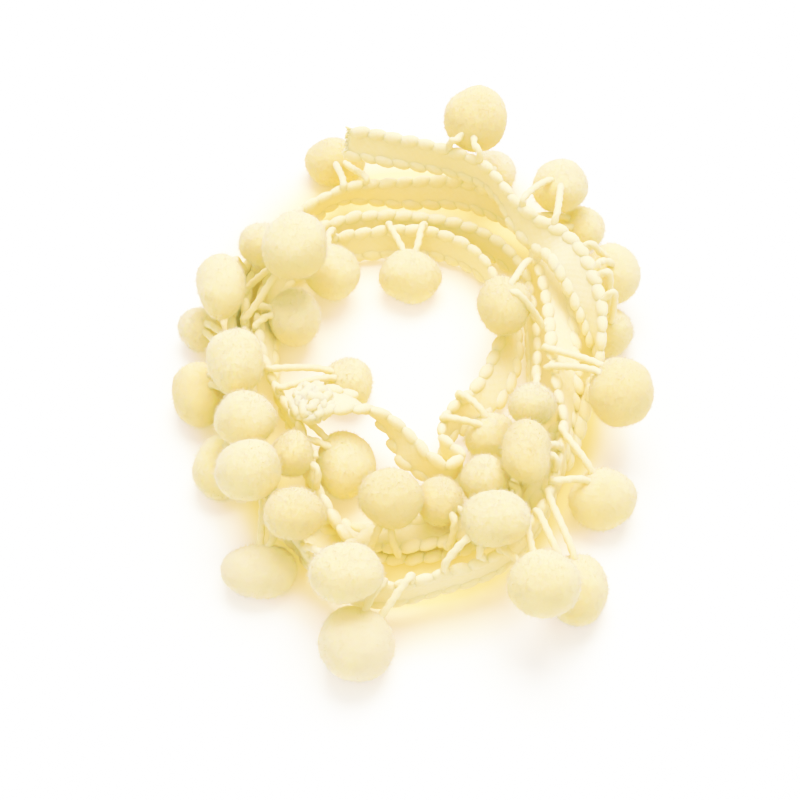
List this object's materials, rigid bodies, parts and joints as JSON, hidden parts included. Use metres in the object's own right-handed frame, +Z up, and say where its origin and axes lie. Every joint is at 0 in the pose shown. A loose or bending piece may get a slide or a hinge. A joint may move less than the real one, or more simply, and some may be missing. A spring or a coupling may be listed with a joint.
{
  "type": "pompom fringe trim",
  "caption": "Length of narrow gimp braid wound into a loose ring, with soft round pompoms hanging from one edge on pairs of yarn legs.",
  "frame": {"origin": "middle of the outline's box, on the surface the trim lies on", "axes": "+Z up, away from the surface; +Y along the ring's longer way, from the front to the high cut end at the back; +X to the right"},
  "size_m": [0.1272, 0.176, 0.0417],
  "materials": {
    "braid_yarn": "matt woven yarn",
    "pompom_pile": "dense soft pile"
  },
  "bodies": {
    "root": {"braid": "braid_yarn", "pompom_01": "pompom_pile", "pompom_02": "pompom_pile", "pompom_03": "pompom_pile", "pompom_04": "pompom_pile", "pompom_05": "pompom_pile", "pompom_06": "pompom_pile", "pompom_07": "pompom_pile", "pompom_08": "pompom_pile", "pompom_09": "pompom_pile", "pompom_10": "pompom_pile", "pompom_11": "pompom_pile", "pompom_12": "pompom_pile", "pompom_13": "pompom_pile", "pompom_14": "pompom_pile", "pompom_15": "pompom_pile", "pompom_16": "pompom_pile", "pompom_17": "pompom_pile", "pompom_18": "pompom_pile", "pompom_19": "pompom_pile", "pompom_20": "pompom_pile", "pompom_21": "pompom_pile", "pompom_22": "pompom_pile", "pompom_23": "pompom_pile", "pompom_24": "pompom_pile", "pompom_25": "pompom_pile", "pompom_26": "pompom_pile", "pompom_27": "pompom_pile", "pompom_28": "pompom_pile", "pompom_29": "pompom_pile", "pompom_30": "pompom_pile", "pompom_31": "pompom_pile", "pompom_32": "pompom_pile", "pompom_33": "pompom_pile", "pompom_34": "pompom_pile", "pompom_35": "pompom_pile", "pompom_36": "pompom_pile", "pompom_37": "pompom_pile", "pompom_38": "pompom_pile"}
  },
  "joints": []
}
